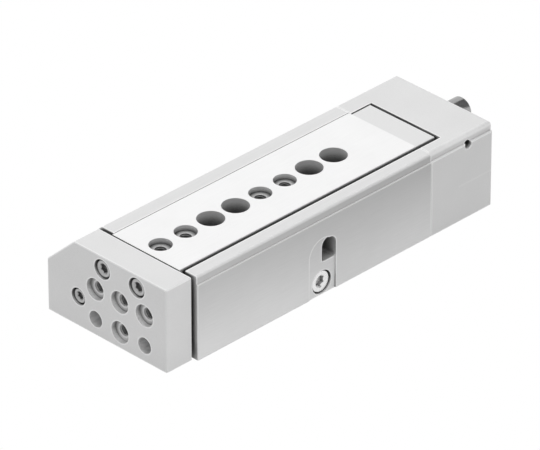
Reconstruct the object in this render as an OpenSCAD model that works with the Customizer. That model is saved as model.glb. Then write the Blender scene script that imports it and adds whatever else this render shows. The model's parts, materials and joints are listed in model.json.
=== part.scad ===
// Pneumatic slide table: a piston in the housing pushes a table that runs on two ball cages.
// Lengths are in millimetres. The origin is on the base, below the middle of the table's hole row.
// +X points to the side with the window, +Y to the rear, +Z up. The table is drawn retracted.

/* [Housing] */
// Distance from the table's centre line to the left side
axis_to_left = 30; // [29:0.5:36]
// Distance from the table's centre line to the right side
axis_to_right = 20; // [20:0.5:25]
// Height of the housing, from the base to its top face
body_h = 28; // [27.5:0.5:32]
// Length of the housing without its end cap
housing_l = 95.5; // [94:0.5:110]
// Length of the end cap
end_cap_l = 25.6; // [24:0.2:36]
// Width of the long chamfer on the left side
chamfer_w = 11.3; // [6:0.1:12]
// Height of the long chamfer
chamfer_h = 10.5; // [6:0.1:11]
// Depth of the step below the housing's right top edge
ledge_depth = 0.4; // [0.3:0.05:1]
// Depth of the step below the end cap's right top edge
cap_ledge_depth = 0.75; // [0.6:0.05:1.2]
// Distance from the top face down to that step
ledge_drop = 2.7; // [1.5:0.1:5]
// Radius of the housing's right top edge
top_edge_r = 0.9; // [0.4:0.05:1.2]
// Radius of the end cap's right top edge
cap_top_edge_r = 1.5; // [0.8:0.05:1.5]
// Radius of the small edges of the light metal bodies
edge_r = 0.3; // [0.2:0.05:0.8]

/* [Table] */
// Width of the table
table_w = 27.4; // [27:0.2:29]
// Thickness of the table
table_t = 9.4; // [9:0.1:10]
// Length of the table
table_l = 96.6; // [95:0.2:110]
// Distance between neighbouring holes of the table
hole_pitch = 10; // [9.6:0.1:10.2]
// Distance from the table's front end to its first hole
first_hole = 6.3; // [5:0.1:8]
// Gap between the table and the right wall of the housing
gap_right = 1.4; // [0.9:0.1:1.6]
// Gap between the table and the left wall of the housing
gap_left = 0.1; // [0.1:0.05:0.6]
// Height of the free space below the table
gap_below = 0.6; // [0.3:0.1:1]
// Diameter of the centring holes
centring_d = 7; // [6:0.1:7.5]
// Depth of the centring holes
centring_depth = 1.6; // [1.2:0.1:2.5]
// Diameter of the access holes through the table
access_d = 8.4; // [7.6:0.1:9]
// Travel of the table
stroke = 40; // [10:1:42]

/* [Table end piece] */
// Length of the end piece behind the table
end_piece_l = 7.7; // [7:0.1:10]
// Distance from the table's left side in to the end piece's left side
end_piece_inset = 1.2; // [0.4:0.1:1.6]
// Gap between the end piece and the end cap's left wall
end_piece_gap = 0.5; // [0.3:0.1:1]
// Width of the stop arm below the end piece
arm_w = 7; // [6:0.2:7.2]
// Thickness of the stop arm
arm_t = 6; // [4:0.1:6.4]
// Gap between the end piece and the end cap
gap_rear = 1.1; // [0.8:0.1:2]

/* [Ball guide] */
// Diameter of a ball
ball_d = 3; // [2.4:0.1:3.4]
// Distance between neighbouring balls in a cage
ball_pitch = 4; // [3.8:0.1:4.2]
// Number of balls in a cage
ball_count = 13; // [5:1:13]
// Distance from the table's side to the guide rail's face
guide_gap = 0.8; // [0.7:0.05:1]
// Thickness of the cage strip
cage_t = 0.5; // [0.3:0.05:0.6]
// Height of the cage strip
cage_h = 5; // [4:0.1:6]
// Thickness of a guide rail
rail_t = 2.8; // [2.4:0.1:3.2]
// Height of a guide rail
rail_h = 8; // [7:0.1:8.5]
// Distance from the table's bottom face up to the line of balls
ball_line = 3.9; // [3.4:0.1:4.4]

/* [Cylinder] */
// Distance from the table's centre line to the cylinder's axis
cyl_offset = 17; // [16.8:0.1:18]
// Distance from the middle of the height under the table up to the cylinder's axis
cyl_rise = 1.3; // [0.8:0.1:1.6]
// Diameter of the cylinder bore
bore_d = 12; // [10:0.1:12.4]
// Diameter of the piston rod
rod_d = 6; // [5:0.1:6.4]
// Length of the piston
piston_l = 14; // [13:0.5:20]
// Length of the rod bearing
bearing_l = 10; // [8:0.5:14]
// Diameter of the air passages
passage_d = 2.5; // [1.5:0.1:2.8]
// Thread diameter of the air ports
port_d = 5; // [3:0.5:5]
// Depth of the air ports
port_depth = 5.5; // [4.5:0.1:8]

/* [Yoke plate] */
// Thickness of the yoke plate
yoke_t = 10; // [9:0.1:14]
// Gap between the yoke plate and the housing
yoke_gap = 1.3; // [1:0.1:2]
// Height of the yoke plate's lower edge above the base
yoke_lift = 0.45; // [0.3:0.05:1]
// Distance from the housing's right side in to the yoke plate's right side
yoke_inset_right = 1.1; // [0.5:0.1:1.6]
// Distance from the housing's left side in to the yoke plate's left side
yoke_inset_left = 0.2; // [0.1:0.1:1]
// Radius of the upright edges of the yoke plate and the end cap
end_edge_r = 0.5; // [0.3:0.1:1.2]
// Height of the lower row of holes above the base
row_low_z = 5.8; // [5.6:0.1:6.2]
// Distance between neighbouring holes of the yoke plate
front_pitch = 10; // [9.8:0.1:10.2]
// Diameter of the two tool holes
tool_hole_d = 5.2; // [4.8:0.1:5.6]
// Diameter of the fastening threads in the table and the yoke plate
fix_thread_d = 4; // [3:0.5:5]
// Depth of the fastening threads in the table
fix_depth = 6.8; // [5:0.1:7.2]

/* [Stops] */
// Diameter of the stop barrels
stop_d = 8; // [7:0.1:8.2]
// Length of the front stop barrel
front_stop_l = 45; // [30:0.5:50]
// Travel of a stop plunger
stop_travel = 1.7; // [1:0.1:2.2]
// Diameter of a stop plunger
plunger_d = 5; // [4:0.1:5.6]
// Distance from the housing's top face down to the rear stop's axis
rear_stop_drop = 4.75; // [4.7:0.05:5.2]
// Distance from the table's centre line to the rear stop's axis
rear_stop_x = 2.6; // [0:0.1:4]
// Length of the rear stop that stands out of the end cap
rear_stop_out = 5.7; // [3:0.1:9]

/* [Side window] */
// Distance from the housing's front face to the pocket's centre line
pocket_y = 50.4; // [50:0.1:52]
// Radius of the pocket's round end
pocket_r = 5.4; // [5:0.1:6]
// Depth of the pocket
pocket_depth = 0.45; // [0.3:0.05:0.8]
// Distance from the housing's top face down to the centre of the pocket's round end
pocket_drop = 14.45; // [14.2:0.05:15.4]
// Height of the window's lower edge
window_z = 10.8; // [10.2:0.1:11]
// Height of the clamp screw's axis
clamp_z = 4.05; // [4:0.05:4.3]
// Diameter of the recess round the clamp screw's head
clamp_recess_d = 7.7; // [7.4:0.1:8]

/* [Base] */
// Diameter of the screw holes in the base
base_hole_d = 4.3; // [3.4:0.1:4.6]
// Diameter of the recess for the screw heads
base_recess_d = 8; // [7.4:0.1:8.6]
// Height of the seat for the screw heads
base_seat_z = 10; // [8:0.5:12]
// Distance from the base up to the lower sensor slot
sensor_slot_z = 5.2; // [4.6:0.1:5.6]
// Distance between the sensor slots
sensor_slot_gap = 7; // [6:0.1:8]

/* [Hidden] */
$fn = 48;

// Clearances
seat = 0.03;            // radial, between round parts that are fixed in each other
run = 0.05;             // radial, between round parts that slide in each other
ball_run = 0.03;        // radial, between a ball and its groove
touch_gap = 0.3;        // between a stop plunger and the face that meets it
arm_side = 0.5;         // between the stop arm and its slot
past = 1;               // how far a cut runs past the face that it opens
seam_bevel = 0.15;      // on the edges of two bodies that meet at a seam
lip = 0.15;             // radius of the lower edge of the housing's step
cap_lip = 0.5;          // radius of the lower edge of the end cap's step
plate_bevel = 0.15;     // on the long top edges of the table and its end piece
relief = 0.4;           // width of the fine groove between the table and the yoke plate
relief_depth = 0.6;     // depth of that groove
hole_play = 0.4;        // on the diameter of a hole that a screw passes through
drill_spare = 1;        // how much deeper a thread is drilled than the screw goes
key_share = 0.55;       // depth of a key socket as a share of the head's height

// Frame lines
left_x = -axis_to_left;
right_x = axis_to_right;
table_half = table_w / 2;
table_z = body_h - table_t;
floor_z = table_z - gap_below;
hole_kinds = ["centred", "centred", "open", "open", "centred", "centred", "open", "open"];
hole_total = len(hole_kinds);
centring_holes = [2, hole_total - 1];
first_hole_y = -hole_pitch * (hole_total - 1) / 2;
table_front = first_hole_y - first_hole;
table_rear = table_front + table_l;
housing_front = table_front + yoke_gap;
housing_rear = housing_front + housing_l;
end_piece_rear = table_rear + end_piece_l;
end_piece_left = -table_half + end_piece_inset;
pocket_end_y = end_piece_rear + gap_rear;
cap_rear = housing_rear + end_cap_l;
yoke_front = table_front - yoke_t;
chamfer_z = body_h - chamfer_h;
row_high_z = row_low_z + front_pitch;
ledge_z = body_h - ledge_drop;

// Ball guide
ball_r = ball_d / 2;
guide_x = table_half + guide_gap / 2;
rail_face = table_half + guide_gap;
guide_z = table_z + ball_line;
groove_r = ball_r + ball_run;
cage_end = 2.5;
cage_l = (ball_count - 1) * ball_pitch + 2 * cage_end;
cage_spare = 1;
cage_front = table_rear - stroke / 2 - cage_spare - cage_l;

// Screws: thread diameter, head diameter, head height, key width
m2_5 = [2.5, 4.7, 2.5, 2];
m3 = [3, 5.5, 3, 2.5];
m4_low = [4, 7, 2.8, 3];
head_play = 0.45;       // radial, round a screw head in its recess
cap_head_play = 0.1;    // radial, round the heads of the end cap's screws

// Fixing screws of the yoke plate
yoke_screw_x = 7;
yoke_screw_drop = 4.3;
yoke_screw_z = body_h - yoke_screw_drop;
screw_sink = 0.5;
yoke_screw_seat_y = yoke_front + m3[2] + screw_sink;
rod_screw_seat_y = yoke_front + m2_5[2] + screw_sink;
yoke_screw_depth = 8;
rod_screw_depth = 7;
yoke_pin_d = 2;
yoke_pin_x = 10.5;
yoke_pin_rise = 1.8;
yoke_pin_z = table_z + yoke_pin_rise;
yoke_pin_depth = 6;
yoke_pin_end = 0.3;

// Cylinder
cyl_x = -cyl_offset;
cyl_z = floor_z / 2 + cyl_rise;
bore_r = bore_d / 2;
rod_r = rod_d / 2;
spigot_l = 5;
chamber_spare = 0.5;
piston_back = housing_rear - spigot_l - chamber_spare;
piston_face = piston_back - piston_l;
ring_inset = 0.5;
ring_front = housing_front + ring_inset;
ring_t = 0.9;
ring_w = 1.5;
ring_slit = 2.4;
ring_groove = 0.4;
bearing_front = ring_front + ring_t;
bearing_back = bearing_front + bearing_l;
bearing_seal_inset = 3;
bearing_seal_y = bearing_back - bearing_seal_inset;
rod_seal_inset = 0.8;
rod_seal_w = 2.4;
rod_seal_t = 1.5;
rod_seal_y = bearing_front + rod_seal_inset;
magnet_l = 3;
magnet_play = 0.4;
seal_grip = 0.02;
piston_half = (piston_l - magnet_l) / 2;
neck_r = 2;
nut_af = 7;
nut_h = 2.4;
nut_play = 0.3;
seal_w = 1.6;
seal_depth = 1.4;
cord_r = 0.75;
bearing_groove_w = 1.9;
gallery_x = -front_pitch;
gallery_z = row_low_z;
cross_drill_d = 2;
cross_drill_inset = 0.4;
cross_drill_back = 4;
cross_drill_x = cyl_x + bore_r - cross_drill_inset;
cross_drill_y = bearing_back + cross_drill_back;
plug_d = 3;
plug_l = 5;
plug_inset = 0.5;
plug_key = 1.5;
plug_key_depth = 2.2;
base_plug_h = 1.6;
base_plug_inset = 0.4;

// Stops
stop_r = stop_d / 2;
arm_inset = 0.2;
front_stop_x = table_half - arm_inset - arm_w / 2;
arm_front = end_piece_rear - arm_t;
front_tip = arm_front - stroke - touch_gap;
front_stop_rear = front_tip - stop_travel;
rear_stop_z = body_h - rear_stop_drop;
rear_tip = end_piece_rear + touch_gap;
rear_stop_front = rear_tip + stop_travel;
rear_stop_rear = cap_rear + rear_stop_out;
plunger_l = 6;
buffer_l = 4.7;
stop_key = 4;
stop_key_depth = 4;
stop_bevel = 0.6;

// Slot for the stop arm, window and clamp
slot_half = arm_w / 2 + arm_side;
slot_z = 1.5;
arm_z = slot_z + arm_side;
pocket_centre_y = housing_front + pocket_y;
pocket_z = body_h - pocket_drop;
slot_lead = 1.4;
slot_end_y = pocket_centre_y - slot_lead;
window_w = pocket_r;
window_r = window_w / 2;
window_y = pocket_centre_y + window_r;
window_inset = 0.65;
window_top = pocket_z + pocket_r - window_inset;
window_corner_r = 0.8;
pocket_x = right_x - pocket_depth;
clamp_sink = 0.45;
clamp_head_x = pocket_x - clamp_sink;
clamp_seat_x = clamp_head_x - m4_low[2];
pad_t = 0.85;
clamp_tip_x = front_stop_x + stop_r + pad_t;
pad_d = 3.2;

// Set screw of the rear stop
set_screw_d = 2.5;
set_screw_l = 6;
set_screw_back = 15.4;
set_screw_y = housing_rear + set_screw_back;
set_screw_rise = 1.45;
set_screw_z = rear_stop_z + set_screw_rise;
set_screw_key = 1.3;
set_screw_key_depth = 1.8;
countersink = 0.25;

// Screws of the end cap: places across the section
upper_left_in = 7.5;
upper_left_rise = 1.5;
lower_left_in = 4.4;
lower_left_z = 2.9;
middle_in = 11.5;
middle_z = 4.5;
right_in = 3.1;
right_drop = 6;
cap_screw_places = [
    [left_x + upper_left_in, chamfer_z + upper_left_rise],
    [left_x + lower_left_in, lower_left_z],
    [gallery_x + middle_in, middle_z],
    [right_x - right_in, floor_z - right_drop]
];
cap_screw_l = 20;
cap_screw_depth = 8.5;
cap_seat_y = housing_rear + cap_screw_l - cap_screw_depth;

// Screws of the end piece
end_screw_x = 9;
end_screw_rise = 5;
end_screw_z = table_z + end_screw_rise;
end_screw_depth = 7;
end_screw_seat_y = end_piece_rear - m3[2] - screw_sink;

// Sensor slots
sensor_slot_mouth = 2.2;
sensor_slot_r = 1.7;
sensor_slot_centre = 2;

// ---- Shared shapes ----

// A bar of a section drawn in X and Z, from y0 to y1
module along_y(y0, y1) {
    translate([0, y1, 0]) rotate([90, 0, 0]) linear_extrude(y1 - y0) children();
}

// A bar of a section drawn in Y and Z, from x0 to x1
module along_x(x0, x1) {
    translate([x0, 0, 0]) rotate([90, 0, 90]) linear_extrude(x1 - x0) children();
}

// Round bars along the three axes, from one place to the next
module rod_y(d, x, z, y0, y1) {
    translate([x, y1, z]) rotate([90, 0, 0]) cylinder(d = d, h = y1 - y0);
}

module rod_x(d, y, z, x0, x1) {
    translate([x0, y, z]) rotate([0, 90, 0]) cylinder(d = d, h = x1 - x0);
}

module rod_z(d, x, y, z0, z1) {
    translate([x, y, z0]) cylinder(d = d, h = z1 - z0);
}

// A block between two corners
module block(low, high) {
    translate(low) cube(high - low);
}

// A rectangle between two corners
module plate(low, high) {
    translate(low) square(high - low);
}

// What a round edge takes off a corner; side says which way the corner points
module corner_cut(corner, side, r) {
    centre = corner - side * r;
    difference() {
        plate([min(centre[0], corner[0] + side[0]), min(centre[1], corner[1] + side[1])],
            [max(centre[0], corner[0] + side[0]), max(centre[1], corner[1] + side[1])]);
        translate(centre) circle(r);
    }
}

// What a bevel takes off a corner
module corner_bevel(corner, side, size) {
    polygon([
        corner + size * [-2 * side[0], side[1]],
        corner + size * [side[0], -2 * side[1]],
        corner + size * side
    ]);
}

// A rectangle whose corners are round at one end of its first axis and bevelled at the other
module soft_plate(low, high, r, bevel, round_low) {
    round_u = round_low ? low[0] : high[0];
    bevel_u = round_low ? high[0] : low[0];
    round_side = round_low ? -1 : 1;
    difference() {
        plate(low, high);
        corner_cut([round_u, low[1]], [round_side, -1], r);
        corner_cut([round_u, high[1]], [round_side, 1], r);
        corner_bevel([bevel_u, low[1]], [-round_side, -1], bevel);
        corner_bevel([bevel_u, high[1]], [-round_side, 1], bevel);
    }
}

// A ring round the Y axis: radii r0 to r1, from y0 to y1, at x and z
module ring_round_y(r0, r1, x, z, y0, y1) {
    difference() {
        rod_y(2 * r1, x, z, y0, y1);
        rod_y(2 * r0, x, z, y0 - past, y1 + past);
    }
}

// A cord ring round the Y axis
module cord_ring(ring_r, section_r, x, z, y) {
    translate([x, y, z]) rotate([90, 0, 0]) rotate_extrude() translate([ring_r, 0]) circle(section_r);
}

// A socket screw whose head stands on z = 0 and whose thread points down
module socket_screw(size, length) {
    head_bevel = 0.35;
    difference() {
        union() {
            translate([0, 0, -length]) cylinder(d = size[0], h = length);
            cylinder(d = size[1], h = size[2] - head_bevel);
            translate([0, 0, size[2] - head_bevel])
                cylinder(d1 = size[1], d2 = size[1] - 2 * head_bevel, h = head_bevel);
        }
        key_socket(size[3], size[2] * key_share, size[2]);
    }
}

// A hexagon socket that opens upwards at height z
module key_socket(key, depth, z) {
    translate([0, 0, z - depth]) cylinder(d = key / cos(30), h = depth + past, $fn = 6);
}

// Turns a screw so that its head points forwards, backwards or to the right
module head_front(x, y, z) {
    translate([x, y, z]) rotate([90, 0, 0]) children();
}

module head_rear(x, y, z) {
    translate([x, y, z]) rotate([-90, 0, 0]) children();
}

module head_right(x, y, z) {
    translate([x, y, z]) rotate([0, 90, 0]) children();
}

// Section of a body: chamfer on the left, and on the right a step below the top edge
module body_section(step, top_r, lip_r) {
    step_x = right_x - step;
    difference() {
        polygon([
            [left_x, 0], [right_x, 0], [right_x, ledge_z], [step_x, ledge_z],
            [step_x, body_h], [left_x + chamfer_w, body_h], [left_x, chamfer_z]
        ]);
        corner_cut([step_x, body_h], [1, 1], top_r);
        corner_cut([right_x, ledge_z], [1, 1], lip_r);
        corner_cut([right_x, 0], [1, -1], edge_r);
        corner_cut([left_x, 0], [-1, -1], edge_r);
    }
}

// The outer shape of a body from y0 to y1: round edges at its free end, bevelled ones at the seam
module body_shape(y0, y1, r, round_front) {
    intersection() {
        along_y(y0, y1) children();
        translate([0, 0, -past]) linear_extrude(body_h + 2 * past)
            rotate([0, 0, 90]) soft_plate([y0, -right_x], [y1, -left_x], r, seam_bevel, round_front);
        along_x(left_x - past, right_x + past)
            soft_plate([y0, 0], [y1, body_h], r, seam_bevel, round_front);
    }
}

// Room for the table, its rails and the stop arm, from y0 to y1
module table_channel(wall_left, y0, y1) {
    block([wall_left, y0, floor_z], [table_half + gap_right, y1, body_h + past]);
}

module arm_slot(y0, y1) {
    block([front_stop_x - slot_half, y0, slot_z], [front_stop_x + slot_half, y1, floor_z + past]);
}

module rail_seats(y0, y1) {
    for (side = [-1, 1])
        block([side > 0 ? table_half : -rail_face - rail_t, y0, floor_z],
            [side > 0 ? rail_face + rail_t : -table_half, y1, floor_z + rail_h]);
}

// ---- Housing side ----

module base_holes() {
    for (i = [0 : hole_total - 1])
        if (hole_kinds[i] == "open") {
            y = first_hole_y + i * hole_pitch;
            rod_z(base_hole_d, 0, y, -past, base_seat_z + past);
            rod_z(base_recess_d, 0, y, base_seat_z, floor_z + past);
        }
    for (i = centring_holes)
        rod_z(centring_d, 0, first_hole_y + i * hole_pitch, -past, centring_depth);
}

module sensor_slots() {
    for (z = [sensor_slot_z, sensor_slot_z + sensor_slot_gap]) {
        rod_y(2 * sensor_slot_r, left_x + sensor_slot_centre, z,
            housing_front - past, housing_rear + past);
        block([left_x - past, housing_front - past, z - sensor_slot_mouth / 2],
            [left_x + sensor_slot_centre, housing_rear + past, z + sensor_slot_mouth / 2]);
    }
}

module side_window() {
    along_x(pocket_x, right_x + past) {
        translate([pocket_centre_y, pocket_z]) circle(pocket_r);
        plate([pocket_centre_y - pocket_r, -past], [pocket_centre_y + pocket_r, pocket_z]);
    }
    along_x(front_stop_x, right_x + past) {
        translate([window_y, window_top - window_r]) circle(window_r);
        difference() {
            plate([window_y - window_r, window_z], [window_y + window_r, window_top - window_r]);
            corner_cut([window_y - window_r, window_z], [-1, -1], window_corner_r);
            corner_cut([window_y + window_r, window_z], [1, -1], window_corner_r);
        }
    }
}

module clamp_hole() {
    rod_x(clamp_recess_d, pocket_centre_y, clamp_z, clamp_seat_x, right_x + past);
    rod_x(m4_low[0] + 2 * seat, pocket_centre_y, clamp_z, front_stop_x + stop_r / 2, clamp_seat_x + past);
}

module cylinder_bore() {
    rod_y(bore_d, cyl_x, cyl_z, housing_front - past, housing_rear + past);
    rod_y(bore_d + 2 * ring_groove, cyl_x, cyl_z, ring_front, ring_front + ring_t);
}

module air_gallery() {
    rod_y(passage_d, gallery_x, gallery_z, housing_front - past, housing_rear + past);
    rod_y(plug_d + 2 * seat, gallery_x, gallery_z,
        housing_front - past, housing_front + plug_l + 2 * plug_inset);
    rod_z(cross_drill_d, cross_drill_x, cross_drill_y, -past, cyl_z);
    rod_z(plug_d, cross_drill_x, cross_drill_y, -past, base_plug_inset + base_plug_h);
}

module housing() {
    color("gainsboro") difference() {
        body_shape(housing_front, housing_rear, edge_r, true) body_section(ledge_depth, top_edge_r, lip);
        table_channel(-table_half - gap_left, housing_front - past, housing_rear + past);
        rail_seats(housing_front - past, housing_rear + past);
        arm_slot(slot_end_y + slot_half, housing_rear + past);
        rod_z(2 * slot_half, front_stop_x, slot_end_y + slot_half, slot_z, floor_z + past);
        cylinder_bore();
        rod_y(stop_d + 2 * seat, front_stop_x, row_low_z, housing_front - past, slot_end_y + slot_half);
        base_holes();
        sensor_slots();
        side_window();
        clamp_hole();
        air_gallery();
        for (p = cap_screw_places)
            rod_y(m2_5[0] + 2 * seat, p[0], p[1],
                housing_rear - cap_screw_depth - drill_spare, housing_rear + past);
    }
}

module end_cap() {
    seal_y = housing_rear - spigot_l / 2;
    color("gainsboro") difference() {
        union() {
            body_shape(housing_rear, cap_rear, end_edge_r, false)
                body_section(cap_ledge_depth, cap_top_edge_r, cap_lip);
            rod_y(bore_d - 2 * seat, cyl_x, cyl_z, housing_rear - spigot_l, housing_rear + past);
        }
        ring_round_y(bore_r - seal_depth, bore_r + past, cyl_x, cyl_z, seal_y - seal_w / 2, seal_y + seal_w / 2);
        table_channel(end_piece_left - end_piece_gap, housing_rear - past, pocket_end_y);
        arm_slot(housing_rear - past, pocket_end_y);
        rod_y(passage_d, cyl_x, cyl_z, housing_rear - spigot_l - past, cap_rear - past);
        rod_y(port_d, cyl_x, cyl_z, cap_rear - port_depth, cap_rear + past);
        rod_y(passage_d, gallery_x, gallery_z, housing_rear - past, cap_rear - past);
        rod_y(port_d, gallery_x, gallery_z, cap_rear - port_depth, cap_rear + past);
        rod_y(passage_d + 4 * cord_r, gallery_x, gallery_z,
            housing_rear - past, housing_rear + 2 * cord_r);
        rod_y(stop_d + 2 * seat, rear_stop_x, rear_stop_z, pocket_end_y - past, cap_rear + past);
        rod_x(set_screw_d + 2 * seat, set_screw_y, set_screw_z, rear_stop_x, right_x + past);
        translate([right_x - countersink, set_screw_y, set_screw_z]) rotate([0, 90, 0])
            cylinder(d1 = set_screw_d, d2 = set_screw_d + 2 * countersink + 2 * past,
                h = countersink + past);
        for (p = cap_screw_places) {
            rod_y(m2_5[0] + 2 * seat, p[0], p[1], housing_rear - past, cap_seat_y + past);
            rod_y(m2_5[1] + 2 * cap_head_play, p[0], p[1], cap_seat_y, cap_rear + past);
        }
    }
}

module end_cap_screws() {
    color("silver") for (p = cap_screw_places)
        head_rear(p[0], cap_seat_y, p[1]) socket_screw(m2_5, cap_screw_l);
}

module end_cap_seal() {
    color("black") cord_ring(bore_r - seal_depth / 2, seal_depth / 2 - seat,
        cyl_x, cyl_z, housing_rear - spigot_l / 2);
}

module gallery_seal() {
    color("black") cord_ring(passage_d / 2 + cord_r, cord_r - seat,
        gallery_x, gallery_z, housing_rear + cord_r);
}

module gallery_plug() {
    color("silver") head_front(gallery_x, housing_front + plug_inset, gallery_z) difference() {
        translate([0, 0, -plug_l]) cylinder(d = plug_d, h = plug_l);
        key_socket(plug_key, plug_key_depth, 0);
    }
}

module base_plug() {
    color("silver") rod_z(plug_d - 2 * seat, cross_drill_x, cross_drill_y,
        base_plug_inset, base_plug_inset + base_plug_h);
}

// ---- Ball guide ----

module guide_rail(side) {
    rail_end = 0.3;
    color("darkgray") along_y(housing_front + rail_end, housing_rear - rail_end) difference() {
        plate([side > 0 ? rail_face : -rail_face - rail_t, floor_z],
            [side > 0 ? rail_face + rail_t : -rail_face, floor_z + rail_h]);
        translate([side * guide_x, guide_z]) circle(groove_r);
    }
}

module guide_rail_left() {
    guide_rail(-1);
}

module guide_rail_right() {
    guide_rail(1);
}

module ball_cage(side) {
    color("goldenrod") difference() {
        block([side * guide_x - cage_t / 2, cage_front, guide_z - cage_h / 2],
            [side * guide_x + cage_t / 2, cage_front + cage_l, guide_z + cage_h / 2]);
        for (i = [0 : ball_count - 1])
            rod_x(ball_d + 2 * run, cage_front + cage_end + i * ball_pitch, guide_z,
                side * guide_x - cage_t, side * guide_x + cage_t);
    }
}

module ball_cage_left() {
    ball_cage(-1);
}

module ball_cage_right() {
    ball_cage(1);
}

module ball_row(side) {
    color("lightgray") for (i = [0 : ball_count - 1])
        translate([side * guide_x, cage_front + cage_end + i * ball_pitch, guide_z]) sphere(ball_r);
}

module balls_left() {
    ball_row(-1);
}

module balls_right() {
    ball_row(1);
}

// ---- Table side ----

// Section of the table and of its end piece, from x0 to x1
module plate_section(x0, x1) {
    polygon([
        [x0, table_z], [x1, table_z], [x1, body_h - plate_bevel],
        [x1 - plate_bevel, body_h], [x0 + plate_bevel, body_h], [x0, body_h - plate_bevel]
    ]);
}

module table() {
    color("white") difference() {
        along_y(table_front, table_rear) difference() {
            plate_section(-table_half, table_half);
            for (side = [-1, 1])
                translate([side * guide_x, guide_z]) circle(groove_r);
        }
        block([-table_half - past, table_front - past, body_h - relief_depth],
            [table_half + past, table_front + relief, body_h + past]);
        for (i = [0 : hole_total - 1]) {
            y = first_hole_y + i * hole_pitch;
            if (hole_kinds[i] == "open") {
                rod_z(access_d, 0, y, table_z - past, body_h + past);
            } else {
                rod_z(centring_d, 0, y, body_h - centring_depth, body_h + past);
                rod_z(fix_thread_d, 0, y, body_h - centring_depth - fix_depth, body_h);
            }
        }
        for (side = [-1, 1]) {
            rod_y(m3[0] + 2 * seat, side * yoke_screw_x, yoke_screw_z,
                table_front - past, table_front + yoke_screw_depth + drill_spare);
            rod_y(yoke_pin_d + 2 * seat, side * yoke_pin_x, yoke_pin_z,
                table_front - past, table_front + yoke_pin_depth);
            rod_y(m3[0] + 2 * seat, side * end_screw_x, end_screw_z,
                table_rear - end_screw_depth - drill_spare, table_rear + past);
        }
    }
}

module table_end_piece() {
    color("lightgray") difference() {
        union() {
            along_y(table_rear, end_piece_rear) plate_section(end_piece_left, table_half);
            block([front_stop_x - arm_w / 2, arm_front, arm_z],
                [front_stop_x + arm_w / 2, end_piece_rear, table_z + past]);
        }
        for (side = [-1, 1]) {
            rod_y(m3[0] + hole_play, side * end_screw_x, end_screw_z, table_rear - past, end_piece_rear);
            rod_y(m3[1] + 2 * head_play, side * end_screw_x, end_screw_z,
                end_screw_seat_y, end_piece_rear + past);
        }
    }
}

module end_piece_screws() {
    color("silver") for (side = [-1, 1])
        head_rear(side * end_screw_x, end_screw_seat_y, end_screw_z)
            socket_screw(m3, end_screw_seat_y - table_rear + end_screw_depth);
}

// ---- Yoke plate ----

module yoke_plate() {
    x0 = left_x + yoke_inset_left;
    x1 = right_x - yoke_inset_right;
    color("gainsboro") difference() {
        intersection() {
            along_y(yoke_front, table_front) difference() {
                polygon([
                    [x0, yoke_lift], [x1, yoke_lift], [x1, body_h],
                    [x0 + chamfer_w, body_h], [x0, chamfer_z]
                ]);
                corner_cut([x1, body_h], [1, 1], end_edge_r);
                corner_cut([x1, yoke_lift], [1, -1], edge_r);
                corner_cut([x0, yoke_lift], [-1, -1], edge_r);
            }
            translate([0, 0, -past]) linear_extrude(body_h + 2 * past)
                rotate([0, 0, 90])
                    soft_plate([yoke_front, -x1], [table_front, -x0], end_edge_r, seam_bevel, true);
            along_x(x0 - past, x1 + past)
                soft_plate([yoke_front, yoke_lift], [table_front, body_h], edge_r, seam_bevel, true);
        }
        for (side = [-1, 1]) {
            rod_y(m3[0] + hole_play, side * yoke_screw_x, yoke_screw_z, yoke_front, table_front + past);
            rod_y(m3[1] + 2 * head_play, side * yoke_screw_x, yoke_screw_z,
                yoke_front - past, yoke_screw_seat_y);
            rod_y(yoke_pin_d + 2 * seat, side * yoke_pin_x, yoke_pin_z,
                table_front - yoke_pin_depth, table_front + past);
        }
        for (x = [gallery_x, front_stop_x])
            rod_y(tool_hole_d, x, row_low_z, yoke_front - past, table_front + past);
        rod_y(m2_5[0] + hole_play, cyl_x, cyl_z, yoke_front, table_front + past);
        rod_y(m2_5[1] + 2 * head_play, cyl_x, cyl_z, yoke_front - past, rod_screw_seat_y);
        for (p = [[-front_pitch, row_high_z], [0, row_high_z], [front_pitch, row_high_z], [0, row_low_z]]) {
            rod_y(centring_d, p[0], p[1], yoke_front - past, yoke_front + centring_depth);
            rod_y(fix_thread_d, p[0], p[1], yoke_front, table_front + past);
        }
    }
}

module yoke_screws() {
    color("silver") for (side = [-1, 1])
        head_front(side * yoke_screw_x, yoke_screw_seat_y, yoke_screw_z)
            socket_screw(m3, table_front - yoke_screw_seat_y + yoke_screw_depth);
}

module yoke_pins() {
    color("silver") for (side = [-1, 1])
        rod_y(yoke_pin_d, side * yoke_pin_x, yoke_pin_z,
            table_front - yoke_pin_depth + yoke_pin_end, table_front + yoke_pin_depth - yoke_pin_end);
}

module rod_screw() {
    color("silver") head_front(cyl_x, rod_screw_seat_y, cyl_z)
        socket_screw(m2_5, table_front - rod_screw_seat_y + rod_screw_depth);
}

// ---- Piston and rod ----

module piston_rod() {
    color("silver") difference() {
        union() {
            rod_y(rod_d, cyl_x, cyl_z, table_front, piston_face);
            rod_y(2 * neck_r, cyl_x, cyl_z, piston_face - past, piston_back);
        }
        rod_y(m2_5[0] + 2 * seat, cyl_x, cyl_z,
            table_front - past, table_front + rod_screw_depth + drill_spare);
    }
}

// One half of the piston: a disc with a seal groove in its rim
module piston_half_shape(y0, y1) {
    groove_y = (y0 + y1 - seal_w) / 2;
    difference() {
        rod_y(bore_d - 2 * run, cyl_x, cyl_z, y0, y1);
        rod_y(2 * (neck_r + seat), cyl_x, cyl_z, y0 - past, y1 + past);
        ring_round_y(bore_r - seal_depth, bore_r + past, cyl_x, cyl_z, groove_y, groove_y + seal_w);
    }
}

module piston_front() {
    color("silver") piston_half_shape(piston_face, piston_face + piston_half);
}

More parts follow.
